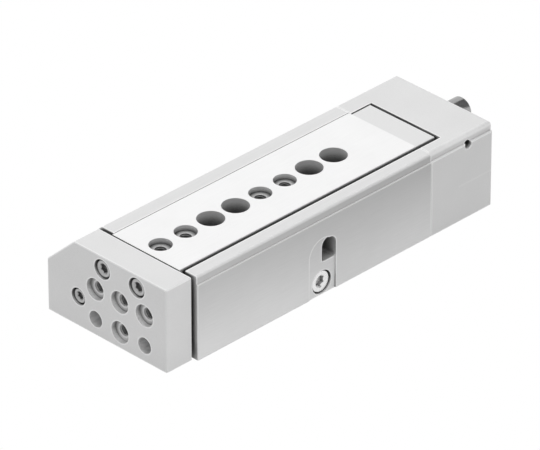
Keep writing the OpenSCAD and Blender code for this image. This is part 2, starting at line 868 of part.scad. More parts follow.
module piston_rear() {
    nut_room = nut_af / cos(30) + nut_play;
    color("silver") difference() {
        piston_half_shape(piston_back - piston_half, piston_back);
        rod_y(nut_room, cyl_x, cyl_z, piston_back - nut_h, piston_back + past);
    }
}

module piston_magnet() {
    color("dimgray") ring_round_y(neck_r + seat, bore_r - magnet_play, cyl_x, cyl_z,
        piston_face + piston_half, piston_back - piston_half);
}

module piston_seals() {
    lip_w = seal_w - 2 * seat;
    color("black") for (y = [piston_face + piston_half / 2, piston_back - piston_half / 2])
        ring_round_y(bore_r - seal_depth + seat, bore_r - seal_grip, cyl_x, cyl_z,
            y - lip_w / 2, y + lip_w / 2);
}

module piston_nut() {
    color("silver") difference() {
        translate([cyl_x, piston_back, cyl_z]) rotate([90, 0, 0])
            cylinder(d = nut_af / cos(30), h = nut_h, $fn = 6);
        rod_y(2 * (neck_r + seat), cyl_x, cyl_z, piston_back - nut_h - past, piston_back + past);
    }
}

module rod_bearing() {
    color("burlywood") difference() {
        rod_y(bore_d - 2 * seat, cyl_x, cyl_z, bearing_front, bearing_back);
        rod_y(rod_d + 2 * run, cyl_x, cyl_z, bearing_front - past, bearing_back + past);
        rod_y(rod_d + 2 * rod_seal_t, cyl_x, cyl_z, rod_seal_y, rod_seal_y + rod_seal_w);
        ring_round_y(bore_r - seal_depth, bore_r + past, cyl_x, cyl_z,
            bearing_seal_y - bearing_groove_w / 2, bearing_seal_y + bearing_groove_w / 2);
    }
}

module rod_seal() {
    color("black") ring_round_y(rod_r + seal_grip, rod_r + rod_seal_t - seat, cyl_x, cyl_z,
        rod_seal_y + seat, rod_seal_y + rod_seal_w - seat);
}

module bearing_seal() {
    color("black") cord_ring(bore_r - seal_depth / 2, seal_depth / 2 - seat,
        cyl_x, cyl_z, bearing_seal_y);
}

module retaining_ring() {
    color("dimgray") difference() {
        ring_round_y(bore_r + ring_groove - seat - ring_w, bore_r + ring_groove - seat,
            cyl_x, cyl_z, ring_front, ring_front + ring_t);
        block([cyl_x - ring_slit / 2, ring_front - past, cyl_z],
            [cyl_x + ring_slit / 2, ring_front + ring_t + past, cyl_z + bore_d]);
    }
}

// ---- Stops ----

// A threaded barrel along +Y: its mouth for the plunger is at y = 0, its key socket at y = -length
module stop_barrel(length) {
    rotate([-90, 0, 0]) difference() {
        union() {
            translate([0, 0, -length]) cylinder(r1 = stop_r - stop_bevel, r2 = stop_r, h = stop_bevel);
            translate([0, 0, stop_bevel - length]) cylinder(r = stop_r, h = length - 2 * stop_bevel);
            translate([0, 0, -stop_bevel]) cylinder(r1 = stop_r, r2 = stop_r - stop_bevel, h = stop_bevel);
        }
        translate([0, 0, -plunger_l + stop_travel - buffer_l])
            cylinder(d = plunger_d + 2 * run, h = plunger_l - stop_travel + buffer_l + past);
        translate([0, 0, -length - past])
            cylinder(d = stop_key / cos(30), h = stop_key_depth + past, $fn = 6);
    }
}

// A plunger along +Y whose round tip ends at y = 0
module stop_plunger() {
    tip_bevel = 0.5;
    rotate([-90, 0, 0]) {
        translate([0, 0, -plunger_l]) cylinder(d = plunger_d, h = plunger_l - tip_bevel);
        translate([0, 0, -tip_bevel])
            cylinder(d1 = plunger_d, d2 = plunger_d - 2 * tip_bevel, h = tip_bevel);
    }
}

module stop_buffer() {
    rotate([-90, 0, 0]) translate([0, 0, -plunger_l - buffer_l]) cylinder(d = plunger_d, h = buffer_l);
}

module front_stop_barrel() {
    color("slategray") translate([front_stop_x, front_stop_rear, row_low_z]) stop_barrel(front_stop_l);
}

module front_stop_plunger() {
    color("silver") translate([front_stop_x, front_tip, row_low_z]) stop_plunger();
}

module front_stop_buffer() {
    color("black") translate([front_stop_x, front_tip, row_low_z]) stop_buffer();
}

module rear_stop_barrel() {
    color("silver") translate([rear_stop_x, rear_stop_front, rear_stop_z]) rotate([0, 0, 180])
        stop_barrel(rear_stop_rear - rear_stop_front);
}

module rear_stop_plunger() {
    color("silver") translate([rear_stop_x, rear_tip, rear_stop_z]) rotate([0, 0, 180]) stop_plunger();
}

module rear_stop_buffer() {
    color("black") translate([rear_stop_x, rear_tip, rear_stop_z]) rotate([0, 0, 180]) stop_buffer();
}

// ---- Clamping of the stops ----

module clamp_screw() {
    color("silver") head_right(clamp_seat_x, pocket_centre_y, clamp_z)
        socket_screw(m4_low, clamp_seat_x - clamp_tip_x);
}

module clamp_pad() {
    color("goldenrod") difference() {
        rod_x(pad_d, pocket_centre_y, clamp_z, front_stop_x, clamp_tip_x);
        rod_y(stop_d + 2 * seat, front_stop_x, row_low_z, slot_end_y - stop_d, slot_end_y + stop_d);
    }
}

module rear_stop_set_screw() {
    head_x = rear_stop_x + stop_r + seat + set_screw_l;
    color("dimgray") head_right(head_x, set_screw_y, set_screw_z) difference() {
        translate([0, 0, -set_screw_l]) cylinder(d = set_screw_d, h = set_screw_l);
        key_socket(set_screw_key, set_screw_key_depth, 0);
    }
}

housing();
end_cap();
end_cap_screws();
end_cap_seal();
gallery_seal();
gallery_plug();
base_plug();
guide_rail_left();
guide_rail_right();
ball_cage_left();
balls_left();
ball_cage_right();
balls_right();
table();
table_end_piece();
end_piece_screws();
yoke_plate();
yoke_screws();
yoke_pins();
rod_screw();
piston_rod();
piston_front();
piston_rear();
piston_magnet();
piston_seals();
piston_nut();
rod_bearing();
rod_seal();
bearing_seal();
retaining_ring();
front_stop_barrel();
front_stop_plunger();
front_stop_buffer();
rear_stop_barrel();
rear_stop_plunger();
rear_stop_buffer();
clamp_screw();
clamp_pad();
rear_stop_set_screw();
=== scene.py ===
# %% [markdown]
# # A pneumatic slide table
#
# This is a small air-driven slide. A piston in the flat aluminium housing pushes a ground steel
# table, and the table runs on two rows of balls. The CAD model already holds every rigid piece at
# its real size and place, so this lesson does the rest: a finish for each material, the screws,
# threads, stop barrels and rubber buffers as turned surfaces worked out with numpy, and a small
# studio to see it all in. Places are in metres and profiles in millimetres, and the model's own
# frame is kept: +X right, +Y to the rear, +Z up.

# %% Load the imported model
import json
import math

import bmesh
import bpy
import numpy as np
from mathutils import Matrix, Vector


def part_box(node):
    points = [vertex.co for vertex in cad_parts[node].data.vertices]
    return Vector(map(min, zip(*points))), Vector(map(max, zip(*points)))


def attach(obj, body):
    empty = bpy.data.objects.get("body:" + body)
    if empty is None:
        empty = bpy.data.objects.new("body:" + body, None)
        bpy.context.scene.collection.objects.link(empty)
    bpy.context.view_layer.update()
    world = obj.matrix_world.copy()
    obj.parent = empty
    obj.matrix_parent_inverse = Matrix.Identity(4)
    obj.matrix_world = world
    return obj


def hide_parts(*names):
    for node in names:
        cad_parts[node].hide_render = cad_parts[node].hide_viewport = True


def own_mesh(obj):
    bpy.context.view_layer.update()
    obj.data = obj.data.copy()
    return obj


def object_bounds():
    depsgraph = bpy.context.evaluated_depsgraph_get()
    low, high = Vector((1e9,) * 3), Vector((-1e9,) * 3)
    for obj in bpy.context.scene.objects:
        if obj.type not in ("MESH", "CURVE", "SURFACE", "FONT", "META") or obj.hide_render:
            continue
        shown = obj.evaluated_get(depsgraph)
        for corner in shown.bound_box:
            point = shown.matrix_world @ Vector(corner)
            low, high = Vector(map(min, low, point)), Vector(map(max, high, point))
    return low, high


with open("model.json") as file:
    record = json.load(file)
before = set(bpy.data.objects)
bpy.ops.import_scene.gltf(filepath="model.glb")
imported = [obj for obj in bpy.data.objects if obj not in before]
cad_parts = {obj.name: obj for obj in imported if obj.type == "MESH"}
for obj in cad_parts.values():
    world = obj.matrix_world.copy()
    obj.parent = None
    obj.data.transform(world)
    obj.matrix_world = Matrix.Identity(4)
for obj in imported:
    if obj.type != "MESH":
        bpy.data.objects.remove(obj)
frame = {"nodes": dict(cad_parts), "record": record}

MM = 0.001
cad_low, cad_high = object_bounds()
print("size in mm:", [round(side / MM, 1) for side in cad_high - cad_low])

# %% [markdown]
# ## Short ways to wire shader nodes
#
# A finish is a tree of shader nodes. It could be wired one node at a time, but the same few steps
# come back in every finish: a value is brought to another range, two colours are mixed, two values
# are added or multiplied. So each step gets a function that takes plain values or the outputs of
# other nodes and hands back its own output. A finish then reads like a sum.

# %% Values and colours from nodes
def grey(level):
    """The colour whose three channels are the same level."""
    return (level, level, level, 1)


def feed(tree, socket, source):
    """Links another node's output to a socket, or types a plain value into it."""
    if isinstance(source, bpy.types.NodeSocket):
        tree.links.new(source, socket)
    else:
        socket.default_value = source


def ranged(tree, value, start, end, first, last, smooth=False):
    """A value that goes from first to last while another goes from start to end, and stays there
    beyond them. It goes evenly, or where smooth with a soft start and a soft end."""
    node = tree.nodes.new("ShaderNodeMapRange")
    node.interpolation_type = "SMOOTHSTEP" if smooth else "LINEAR"
    feed(tree, node.inputs["Value"], value)
    feed(tree, node.inputs["From Min"], start)
    feed(tree, node.inputs["From Max"], end)
    feed(tree, node.inputs["To Min"], first)
    feed(tree, node.inputs["To Max"], last)
    return node.outputs["Result"]


def combined(tree, operation, first, second):
    """Two values added or multiplied, or the larger of the two, as the operation says."""
    node = tree.nodes.new("ShaderNodeMath")
    node.operation = operation
    feed(tree, node.inputs[0], first)
    feed(tree, node.inputs[1], second)
    return node.outputs["Value"]


def mixed(tree, share, first, second, blend="MIX"):
    """A colour that goes from first to second as share goes from 0 to 1."""
    node = tree.nodes.new("ShaderNodeMix")
    node.data_type = "RGBA"
    node.blend_type = blend
    feed(tree, node.inputs["Factor"], share)
    feed(tree, node.inputs["A"], first)
    feed(tree, node.inputs["B"], second)
    return node.outputs["Result"]


def dimmed(tree, colour, level):
    """A colour times a level."""
    return mixed(tree, 1.0, colour, level, "MULTIPLY")


def along_axis(tree, output, axis):
    """The X, Y or Z of the surface's Normal or Position."""
    geometry = tree.nodes.new("ShaderNodeNewGeometry")
    parts = tree.nodes.new("ShaderNodeSeparateXYZ")
    tree.links.new(geometry.outputs[output], parts.inputs["Vector"])
    return parts.outputs[axis]


print("a middle grey:", grey(0.5))

# %% [markdown]
# ## Patterns of worked metal
#
# Bare metal is never one flat colour. Machining leaves fine lines, anodising leaves a soft grain,
# and handling leaves patches that are a little more or less polished. A picture of brushed metal
# would stretch on some faces and show its seams. Noise on Object coordinates has no seams, and
# its scale is easy to choose: Object coordinates are metres in the model's frame, so a scale of
# 1000 means one feature in each millimetre, and stretching one axis turns grain into lines.

# %% Noise and bump
EVEN_GRAIN = (1, 1, 1)
ALONG_TRAVEL = (1, 0.04, 1)
NOISE_MIDDLE = (0.3, 0.7)
MICROMETRE = 0.001 * MM


def pattern(tree, scale, detail, stretch=EVEN_GRAIN):
    """Noise on Object coordinates: scale features in each metre, made longer along the axes
    whose stretch is below one."""
    place = tree.nodes.new("ShaderNodeTexCoord")
    mapping = tree.nodes.new("ShaderNodeMapping")
    mapping.inputs["Scale"].default_value = stretch
    noise = tree.nodes.new("ShaderNodeTexNoise")
    noise.inputs["Scale"].default_value = scale
    noise.inputs["Detail"].default_value = detail
    tree.links.new(place.outputs["Object"], mapping.inputs["Vector"])
    tree.links.new(mapping.outputs["Vector"], noise.inputs["Vector"])
    return noise.outputs["Fac"]


def spread(tree, noise, low, high):
    """Maps the middle range of a noise, where most of it lies, onto low to high."""
    return ranged(tree, noise, *NOISE_MIDDLE, low, high)


def average(tree, first, second):
    """Half of one pattern and half of another."""
    return combined(tree, "MULTIPLY", combined(tree, "ADD", first, second), 0.5)


def raise_bump(tree, shader, height, depth):
    """Turns a 0 to 1 height into a bump of that depth in micrometres."""
    bump = tree.nodes.new("ShaderNodeBump")
    bump.inputs["Distance"].default_value = depth * MICROMETRE
    tree.links.new(height, bump.inputs["Height"])
    tree.links.new(bump.outputs["Normal"], shader.inputs["Normal"])


print("lines along the travel are longer by", 1 / ALONG_TRAVEL[1])

# %% [markdown]
# ## Crevices
#
# Holes and gaps are darker than open faces, because the faces round them shut out the light. The
# holes could have a darker material of their own, but it would begin with a hard line at the rim.
# Ambient occlusion measures at each point how open the space above it is, so the dark grows softly
# into every hole. How far it has to look depends on the piece: a wide window needs a longer reach
# than a small thread. So there are several kinds of crevice, named for what they are made for.

# %% Darken the crevices
FOOT = 4 * MM


def crevice(reach, level, upright, lying):
    """One kind of crevice. reach is how far off a face may be and still count, in millimetres, and
    level what is left of the colour in the darkest place. upright and lying say, for walls and
    for level faces, how open a point is where the dark is full and where it begins."""
    return {"reach": reach * MM, "level": level, "upright": upright, "lying": lying}


SHALLOW = crevice(4, 0.25, (0.12, 0.80), (0.12, 0.45))
STEPPED = crevice(4, 0.10, (0.25, 0.58), (0.12, 0.45))
GROOVED = crevice(9, 0.18, (0.22, 0.58), (0.12, 0.45))
BORED = crevice(4, 0.20, (0.30, 0.88), (0.12, 0.45))
WINDOWED = crevice(10, 0.25, (0.22, 0.47), (0.22, 0.47))
DEEP = crevice(10, 0.08, (0.20, 0.47), (0.45, 1.0))
SOCKETED = crevice(4, 0.62, (0.55, 0.95), (0.55, 0.95))
TAPPED = crevice(4, 0.28, (0.30, 1.0), (0.30, 1.0))


def darken_crevices(tree, colour, kind):
    """Darkens a colour where neighbouring faces shut out the light.

    Ambient occlusion is the open share of the space within reach of a point: 1 on a bare face, a
    half in a corner and little down a gap. While it falls from where the dark begins to where it
    is full, the colour fades to the kind's level. Upright and lying faces have their own pair of
    values, so that the walls of holes darken while a narrow step stays clean. Lower than FOOT
    upright faces fade to the lying pair, because the floor itself is no crevice."""
    opening = tree.nodes.new("ShaderNodeAmbientOcclusion")
    opening.inputs["Distance"].default_value = kind["reach"]
    steep = ranged(tree, along_axis(tree, "Normal", "Z"), 0.0, 1.0, 1.0, 0.0)
    lifted = ranged(tree, along_axis(tree, "Position", "Z"), 0.0, FOOT, 0.0, 1.0)
    share = combined(tree, "MULTIPLY", steep, lifted)
    full, begun = [ranged(tree, share, 0.0, 1.0, lying, upright)
                   for lying, upright in zip(kind["lying"], kind["upright"])]
    level = ranged(tree, opening.outputs["AO"], full, begun, kind["level"], 1.0, smooth=True)
    return dimmed(tree, colour, level)


print("the table's holes are seen to a depth in mm of", DEEP["reach"] / MM)

# %% [markdown]
# ## Light on the right sides
#
# The long right side of the housing is lit from below: the pale floor sends light back to its foot
# and its front, and less of it reaches further up and back. A lamp near the floor would show in
# the gloss of every other piece. A gentle ramp in the finish, along a slanted line, does it for
# this one side. The yoke plate's right side is short, so it is lighter all over.

# %% Shade and light the right sides
LOOKS_RIGHT = (0.6, 1.0)
SIDE_SLOPE = (0, 0.12, 1)
SIDE_START = -4 * MM
SIDE_END = 34.5 * MM
SIDE_FOOT = 1.25
SIDE_TOP = 0.69
SIDE_LIGHT = 1.12


def along_line(tree, line):
    """How far the surface's Position lies along a line: their dot product."""
    geometry = tree.nodes.new("ShaderNodeNewGeometry")
    product = tree.nodes.new("ShaderNodeVectorMath")
    product.operation = "DOT_PRODUCT"
    product.inputs[1].default_value = line
    tree.links.new(geometry.outputs["Position"], product.inputs[0])
    return product.outputs["Value"]


def shade_right_side(tree, colour):
    """Shades the faces that look right, from a lighter foot and front to a darker top and rear.
    Other faces keep their colour: the shade fades in while the normal's X goes through
    LOOKS_RIGHT."""
    level = ranged(tree, along_line(tree, SIDE_SLOPE), SIDE_START, SIDE_END, SIDE_FOOT, SIDE_TOP)
    facing = ranged(tree, along_axis(tree, "Normal", "X"), *LOOKS_RIGHT, 0.0, 1.0)
    return mixed(tree, facing, colour, dimmed(tree, colour, level))


def light_right_side(tree, colour):
    """Lights the faces that look right, which face the open floor, all over."""
    level = ranged(tree, along_axis(tree, "Normal", "X"), *LOOKS_RIGHT, 1.0, SIDE_LIGHT)
    return dimmed(tree, colour, level)


print("the side's colour goes from", SIDE_FOOT, "to", SIDE_TOP, "of its own")

# %% [markdown]
# ## Painted highlights on the edges
#
# Edges catch the light, so this finish paints a highlight along them, lighter than the faces
# beside them. Lines could be drawn along them in a texture, but then each change of a shape would
# need new lines.
# Ambient occlusion measured inside the metal finds sharp edges by itself, because little metal
# lies behind them. Round edges are found by their normals, which turn from up to right.

# %% Paint highlights on the edges
# How bright the painted edge highlights are, and where they are painted.
ROUND_EDGE_HIGHLIGHT = 1.25
ROUND_EDGE_FULL = 0.4
EDGE_REACH = 0.7 * MM
EDGE_HIGHLIGHT_COLOUR = grey(0.96)
EDGE_THIN = (0.92, 0.6)
EDGE_ABOVE = (-0.9, -0.5)


def paint_round_edge_highlight(tree, colour):
    """Paints a highlight on the round upper edges on the right. The normal's X times its Z is zero
    on level and on upright faces, and a half in the middle of such an edge."""
    right = ranged(tree, along_axis(tree, "Normal", "X"), 0.0, 1.0, 0.0, 1.0)
    up = ranged(tree, along_axis(tree, "Normal", "Z"), 0.0, 1.0, 0.0, 1.0)
    between = combined(tree, "MULTIPLY", right, up)
    level = ranged(tree, between, 0.0, ROUND_EDGE_FULL, 1.0, ROUND_EDGE_HIGHLIGHT)
    return dimmed(tree, colour, level)


def paint_sharp_edge_highlight(tree, colour):
    """Paints a highlight, a fine light line, along sharp edges, where the inside of the metal is
    thin: the line grows while the ambient occlusion inside goes through EDGE_THIN. The base, which
    lies close under air galleries, keeps its colour: the line fades in while the normal's Z goes
    through EDGE_ABOVE."""
    inside = tree.nodes.new("ShaderNodeAmbientOcclusion")
    inside.inside = True
    inside.inputs["Distance"].default_value = EDGE_REACH
    thin = ranged(tree, inside.outputs["AO"], *EDGE_THIN, 0.0, 1.0)
    above = ranged(tree, along_axis(tree, "Normal", "Z"), *EDGE_ABOVE, 0.0, 1.0)
    return mixed(tree, combined(tree, "MULTIPLY", thin, above), colour, EDGE_HIGHLIGHT_COLOUR)


# How deep into the metal the painted edge highlight looks.
print("highlighted edges are found to a depth in mm of", EDGE_REACH / MM)

# %% [markdown]
# ## One worked metal
#
# Every piece here is one Principled shader, metal or rubber. Large soft patches and fine grain
# together move its colour and its roughness, and the grain alone raises a shallow bump, so that
# the lines that are seen are the lines that catch the light. Separate patterns for colour and
# gloss would be easy too, but they wouldn't agree with each other as they do on real metal. A
# value that is the same all over the surface is typed into the shader's own socket.

# %% The finish of a worked metal
PATCHES = 70
PATCH_DETAIL = 2.0
GRAIN = 2600
GRAIN_DETAIL = 4.0


def principled(name, metallic):
    """A new material with one Principled shader: gives the material, its nodes and the shader."""
    material = bpy.data.materials.new(name)
    material.use_nodes = True
    shader = material.node_tree.nodes["Principled BSDF"]
    shader.inputs["Metallic"].default_value = metallic
    return material, material.node_tree, shader


def finish_metal(name, dark, light, rough, metallic, lines, depth, holes=SHALLOW, extras=()):
    """A finish whose colour and roughness follow soft patches and fine lines.

    dark and light are the two ends of its colour, rough the two ends of its roughness, lines the
    stretch that turns the grain into tool lines, depth the height of those lines in micrometres,
    and holes its kind of crevice. extras are functions that change the colour further."""
    material, tree, shader = principled(name, metallic)
    patches = pattern(tree, PATCHES, PATCH_DETAIL)
    fine = pattern(tree, GRAIN, GRAIN_DETAIL, lines)
    worked = average(tree, patches, fine)
    colour = mixed(tree, spread(tree, worked, 0.0, 1.0), dark, light)
    for extra in extras:
        colour = extra(tree, colour)
    tree.links.new(darken_crevices(tree, colour, holes), shader.inputs["Base Color"])
    tree.links.new(spread(tree, worked, *rough), shader.inputs["Roughness"])
    raise_bump(tree, shader, fine, depth)
    return material


print("width of a patch in mm:", round(1 / PATCHES / MM), "grains in a mm:", GRAIN * MM)

# %% [markdown]
# ## The metals and rubbers of the slide
#
# The housing, end cap and yoke plate are naturally anodised aluminium: a light satin grey whose
# oxide layer scatters light, so it is only partly metallic. The table is ground steel with a
# bright face and lines along its travel. Rails and balls are harder and darker, the rod is hard
# chromed, and the small steel parts are bright plated. Each finish could be a function of its own,
# but they differ in their values alone, so they are rows of one table.

# %% Make the finishes
# The edge functions paint highlights along the edges, and the right-side functions paint light and
# shade on the long right sides.
EDGE_HIGHLIGHTS = (paint_round_edge_highlight, paint_sharp_edge_highlight)
ANODISED = (grey(0.72), grey(0.78), (0.42, 0.52), 0.35)
YOKE_ANODISED = (grey(0.73), grey(0.79), (0.42, 0.52), 0.35)
BRASS = ((0.62, 0.45, 0.18, 1), (0.72, 0.54, 0.24, 1))
BRONZE = ((0.46, 0.28, 0.12, 1), (0.58, 0.37, 0.18, 1))

# A row holds the dark and the light colour, the least and the most roughness, how metallic it is,
# the stretch of its grain and the depth of its lines in micrometres. Some rows also hold their
# kind of crevice and what else is done to the colour.
RECIPES = {
    "anodised_aluminium": (*ANODISED, EVEN_GRAIN, 4, STEPPED, EDGE_HIGHLIGHTS),
    "housing_aluminium": (*ANODISED, ALONG_TRAVEL, 4, GROOVED, (shade_right_side, *EDGE_HIGHLIGHTS)),
    "yoke_aluminium": (*YOKE_ANODISED, EVEN_GRAIN, 4, BORED, (light_right_side, *EDGE_HIGHLIGHTS)),
    "tapped_aluminium": (*ANODISED, EVEN_GRAIN, 4, TAPPED),
    "ground_steel": (grey(0.88), grey(0.93), (0.30, 0.40), 0.35, ALONG_TRAVEL, 2, DEEP),
    "matt_aluminium": (grey(0.76), grey(0.80), (0.45, 0.55), 0.35, EVEN_GRAIN, 4),
    "hardened_steel": (grey(0.50), grey(0.58), (0.25, 0.35), 1.0, ALONG_TRAVEL, 1),
    "screw_steel": (grey(0.84), grey(0.92), (0.22, 0.34), 0.8, EVEN_GRAIN, 2),
    "dull_steel": (grey(0.43), grey(0.51), (0.24, 0.36), 0.8, EVEN_GRAIN, 2, SOCKETED),
    "stop_steel": (grey(0.35), grey(0.41), (0.14, 0.24), 1.0, ALONG_TRAVEL, 1, WINDOWED),
    "chromed_rod": (grey(0.80), grey(0.84), (0.08, 0.14), 1.0, ALONG_TRAVEL, 0.5),
    "ball_steel": (grey(0.78), grey(0.82), (0.06, 0.10), 1.0, EVEN_GRAIN, 0.3),
    "piston_aluminium": (grey(0.70), grey(0.76), (0.30, 0.42), 1.0, EVEN_GRAIN, 2),
    "cage_brass": (*BRASS, (0.28, 0.40), 1.0, ALONG_TRAVEL, 2),
    "bearing_bronze": (*BRONZE, (0.35, 0.50), 1.0, EVEN_GRAIN, 3),
    "spring_steel": (grey(0.05), grey(0.09), (0.35, 0.50), 0.5, EVEN_GRAIN, 2),
    "magnet": (grey(0.05), grey(0.08), (0.60, 0.75), 0.0, EVEN_GRAIN, 5),
    "seal_rubber": (grey(0.015), grey(0.03), (0.45, 0.60), 0.0, EVEN_GRAIN, 2),
    "buffer_rubber": (grey(0.02), grey(0.04), (0.60, 0.75), 0.0, EVEN_GRAIN, 4),
}
FINISHES = {name: finish_metal(name, *recipe) for name, recipe in RECIPES.items()}
print("finishes:", ", ".join(FINISHES))

# %% [markdown]
# ## Dress the CAD nodes
#
# The record names a material slot for each CAD node. Each node's object gets the finish of its
# slot, so nothing is left with the plain colour that it was imported with. Four nodes have a
# finish of their own: the housing's long side is shaded, the yoke plate's holes are darker and its
# side is lighter, and its screws are duller.

# %% Give each node its finish
OWN_FINISH = {
    "housing": "housing_aluminium",
    "yoke_plate": "yoke_aluminium",
    "yoke_screws": "dull_steel",
    "rod_screw": "dull_steel",
}


def slot_of(node):
    """The record's material slot of a CAD node."""
    for row in frame["record"]["subparts"]:
        if row["node"] == node:
            return row["material_slot"]
    raise KeyError(node)


for node, shape in frame["nodes"].items():
    shape.data.materials.clear()
    shape.data.materials.append(FINISHES[OWN_FINISH.get(node, slot_of(node))])
print("dressed:", len(frame["nodes"]))

# %% [markdown]
# ## Turned pieces
#
# Screws, stop barrels and thread linings are all turned: a radius that changes along an axis. They
# could be cut from cylinders with booleans, which leave ragged faces on threads. Here such a piece
# is a grid of stations along the axis by angles round it. A station says how high it lies, how
# wide it is, how far its circle has become a hexagon, how deep its knurl is and how tall its
# thread is. One formula gives every point, so a key socket, a knurled head and a real helical
# thread come out of the same few lines.

# %% The surface of a turned piece
ANGLES = 72
SIXTH = math.pi / 3


def station(height, radius, hexagon=0.0, knurl=0.0, thread=0.0):
    """One station in millimetres: where it lies, its radius and what is worked into it."""
    return [height, radius, hexagon, knurl, thread]


def turned_points(stations, pitch=1.0):
    """The points of a turned piece in millimetres, stations by angles.

    The radius is the station's own, times the reach of a hexagon where it has one, plus its knurl
    times the cosine of half as many waves as there are angles, plus its thread times a triangle
    wave that climbs by one pitch in a turn. A hexagon's reach is one over the cosine of the angle
    to the middle of the nearest flat."""
    height, radius, hexagon, knurl, thread = np.array(stations, dtype=float).T[:, :, None]
    angle = np.arange(ANGLES) * math.tau / ANGLES
    reach = 1 / np.cos((angle + SIXTH / 2) % SIXTH - SIXTH / 2)
    turn = (height / pitch - angle / math.tau) % 1
    wave = 4 * np.abs(turn - 0.5) - 1
    ridge = np.cos(angle * ANGLES / 2)
    width = radius * (1 + hexagon * (reach - 1)) + knurl * ridge + thread * wave
    level = np.broadcast_to(height, width.shape)
    return np.stack([width * np.cos(angle), width * np.sin(angle), level], axis=-1)


print("a plain rod has points:", turned_points([station(0, 1), station(5, 1)]).shape)

# %% [markdown]
# ## Threads
#
# A thread is a ridge that winds round a screw. It fades in and out over half a turn, as the cut
# of a real one does, which also lets its two ends meet plain edges. Six rows of points to each
# pitch are enough for its flanks, and a very fine mesh would show no more.

# %% The stations of a thread
ROWS_PER_PITCH = 6
THREAD_DEPTH_SHARE = 0.61
# The pitch of each size of thread, in millimetres.
PITCHES = {2.5: 0.45, 3.0: 0.5, 4.0: 0.7, 5.0: 0.8, 8.0: 1.0}


def thread_stations(low, high, radius, depth, pitch):
    """Stations of a thread, bottom up, whose flanks have their middle at that radius. Its height
    is half its depth times a share, which climbs from 0 to 1 in the first half pitch and falls
    back to 0 in the last."""
    count = int(round((high - low) / pitch * ROWS_PER_PITCH)) + 1
    heights = np.linspace(low, high, count)
    fade = np.clip(np.minimum(heights - low, high - heights) / (pitch / 2), 0, 1)
    return [station(height, radius, thread=depth / 2 * share)
            for height, share in zip(heights, fade)]


print("four turns of a thread have stations:", len(thread_stations(-4, 0, 4, 0.6, PITCHES[8.0])))

# %% [markdown]
# ## From points to a closed mesh
#
# The points of a turned piece stand upright about the middle of the frame. They are turned to the
# way that the real piece faces and moved to its foot before they go into a mesh, so that the
# object itself stays at the origin, as the CAD nodes do. Each ring of points is then joined to the
# next by quads. A ring of radius zero is a pole, and merging its doubles closes it.

# %% Turn a surface and put it in place
# For each way of facing, where the piece's own X, Y and Z point.
AXES = {
    "front": ((1, 0, 0), (0, 0, 1), (0, -1, 0)),
    "rear": ((-1, 0, 0), (0, 0, 1), (0, 1, 0)),
    "right": ((0, 1, 0), (0, 0, 1), (1, 0, 0)),
    "up": ((1, 0, 0), (0, 1, 0), (0, 0, 1)),
}


def outwards(facing):
    """The way that a piece is facing, as an arrow of length one."""
    return np.array(AXES[facing][2])


def placed(points, foot, facing):
    """Turns points so that their height points that way, and puts height zero at foot: a point's
    place is its X, Y and Z, each along its own axis, added to the foot."""
    return np.array(foot) + points * MM @ np.array(AXES[facing])


print("a piece that faces the rear points along:", outwards("rear"))

# %% Join the rings and close the mesh
MERGE = 0.0002 * MM


def ring_quads(rows, columns, ring_closed):
    """The corner numbers of the quads from each ring to the next, and from the last to the first
    where ring_closed. A corner's number is its row times the columns, plus its column."""
    row = np.arange(rows if ring_closed else rows - 1)[:, None]
    column = np.arange(columns)[None, :]
    above = (row + 1) % rows
    beside = (column + 1) % columns
    quads = np.stack([row * columns + column, row * columns + beside,
                      above * columns + beside, above * columns + column], axis=-1)
    return quads.reshape(-1, 4)


def join_rings(grids, ring_closed=False):
    """One mesh from grids of rings, with its doubles merged and its faces turned out."""
    faces = []
    start = 0
    for grid in grids:
        rows, columns, _ = grid.shape
        faces.append(ring_quads(rows, columns, ring_closed) + start)
        start += rows * columns
    corners = np.concatenate([grid.reshape(-1, 3) for grid in grids])
    mesh = bpy.data.meshes.new("turned")
    mesh.from_pydata(corners, [], np.concatenate(faces).tolist())
    work = bmesh.new()
    work.from_mesh(mesh)
    bmesh.ops.remove_doubles(work, verts=work.verts, dist=MERGE)
    bmesh.ops.dissolve_degenerate(work, edges=work.edges, dist=MERGE)
    bmesh.ops.recalc_face_normals(work, faces=work.faces)
    work.to_mesh(mesh)
    work.free()
    return mesh


print("three rings of four points have quads:", len(ring_quads(3, 4, False)))

# %% [markdown]
# ## Pieces that ride along
#
# It is smooth where it is round and sharp where two faces meet at a clear angle, so no bevels are
# needed.

# %% Make a mesh a piece
SHARP_FROM = math.radians(32)


def add_piece(name, mesh, body, slot, replaced=None, finish=None):
    """A finished piece: smooth where it is round, sharp at its edges, and riding on its body. Its
    finish is the one that is named, or else that of the node that it replaces, or of its slot."""
    mesh.name = name
    mesh.shade_smooth()
    mesh.set_sharp_from_angle(angle=SHARP_FROM)
    mesh.materials.append(FINISHES[finish or OWN_FINISH.get(replaced, slot)])
    piece = bpy.data.objects.new(name, mesh)
    bpy.context.scene.collection.objects.link(piece)
    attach(piece, body)
    if replaced:
        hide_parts(replaced)
    print(name, "faces:", len(mesh.polygons))
    return piece


def add_turned(node, grids, body):
    """A piece from grids of rings that stands for the plain node of the same place and size."""
    return add_piece(node + "_turned", join_rings(grids), body, slot_of(node), node)


def box_ends(box, facing):
    """The middle of a box's outer and inner ends, seen along the way that a piece is facing: the
    middle of the box, with half its length that way added and taken off."""
    low, high = box
    out = outwards(facing)
    middle = (low + high) / 2
    half = np.abs((high - low) @ out) / 2
    return middle + out * half, middle - out * half


def node_ends(node, facing):
    """The middle of a node's outer and inner ends, and the length between them, in metres."""
    low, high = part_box(node)
    top, tip = box_ends((np.array(low), np.array(high)), facing)
    return top, tip, np.linalg.norm(top - tip)


print("the rear stop's length in mm:", round(node_ends("rear_stop_barrel", "rear")[2] / MM, 1))

